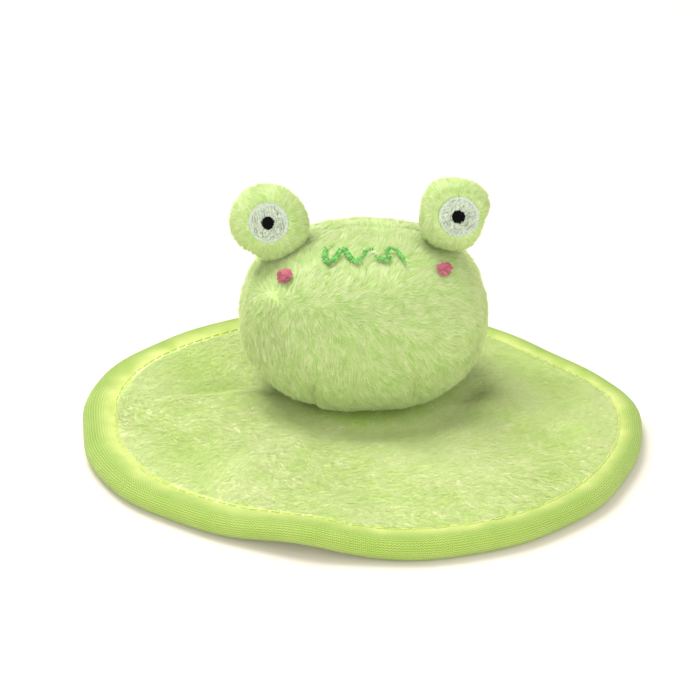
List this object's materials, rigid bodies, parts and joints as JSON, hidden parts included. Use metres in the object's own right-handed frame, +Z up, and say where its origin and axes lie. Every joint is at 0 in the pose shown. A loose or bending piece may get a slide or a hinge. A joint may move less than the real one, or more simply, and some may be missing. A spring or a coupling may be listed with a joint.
{
  "type": "hand puppet",
  "caption": "Plush frog-head hand puppet on a padded oval mat with a bound edge; fingers enter a pocket in the head from below, and the head nods, tilts and turns.",
  "frame": {"origin": "middle of the mat, on the surface that it lies on", "axes": "+X to the right of somebody facing the frog, +Y towards the back of its head, +Z up"},
  "size_m": [0.196, 0.178, 0.0879],
  "materials": {
    "head_plush": "short soft pile, light yellow-green, combed",
    "mat_plush": "short soft pile, light yellow-green, combed sideways",
    "backing_fabric": "plain woven polyester, light green",
    "wadding": "polyester padding",
    "stuffing": "polyester fibre filling",
    "lining": "thin knitted polyester",
    "binding_tape": "fine twill tape, bright lime, folded over the edge",
    "binding_thread": "shiny sewing thread",
    "sewing_thread": "sewing thread",
    "mouth_thread": "embroidery thread, mid green",
    "cheek_thread": "embroidery thread, pink",
    "eye_white_thread": "shiny embroidery thread, silver-white",
    "pupil_thread": "embroidery thread, black"
  },
  "bodies": {
    "mat": {"binding_topstitch": "binding_thread", "edge_binding": "binding_tape", "mat_base_fabric": "backing_fabric", "mat_top_plush": "mat_plush", "mat_wadding": "wadding", "pocket_mouth_binding": "binding_tape"},
    "neck_turner": {"neck_sleeve": "lining"},
    "neck_nodder": {"neck_stitches": "sewing_thread"},
    "head": {"cheek_left": "cheek_thread", "cheek_right": "cheek_thread", "chin_dart_left": "sewing_thread", "chin_dart_right": "sewing_thread", "eye_left_back_panel": "head_plush", "eye_left_foot_stitches": "sewing_thread", "eye_left_front_panel": "head_plush", "eye_left_pupil": "pupil_thread", "eye_left_side_seam": "sewing_thread", "eye_left_stuffing": "stuffing", "eye_left_white": "eye_white_thread", "eye_right_back_panel": "head_plush", "eye_right_foot_stitches": "sewing_thread", "eye_right_front_panel": "head_plush", "eye_right_pupil": "pupil_thread", "eye_right_side_seam": "sewing_thread", "eye_right_stuffing": "stuffing", "eye_right_white": "eye_white_thread", "face_panel": "head_plush", "finger_pocket": "lining", "head_back_panel": "head_plush", "head_side_seam": "sewing_thread", "head_stuffing": "stuffing", "mouth_stroke_left": "mouth_thread", "mouth_stroke_right": "mouth_thread"}
  },
  "joints": [
    {"name": "head_turn", "type": "hinge", "parent": "mat", "child": "neck_turner", "pos_m": [0, 0.019, 0.008], "axis": [0, 0, 1], "range_deg": [-15, 15], "stiffness_Nm_per_rad": 0.03},
    {"name": "head_nod", "type": "hinge", "parent": "neck_turner", "child": "neck_nodder", "pos_m": [0, 0.019, 0.008], "axis": [1, 0, 0], "range_deg": [-10, 10], "stiffness_Nm_per_rad": 0.06},
    {"name": "head_tilt", "type": "hinge", "parent": "neck_nodder", "child": "head", "pos_m": [0, 0.019, 0.008], "axis": [0, 1, 0], "range_deg": [-10, 10], "stiffness_Nm_per_rad": 0.06}
  ]
}
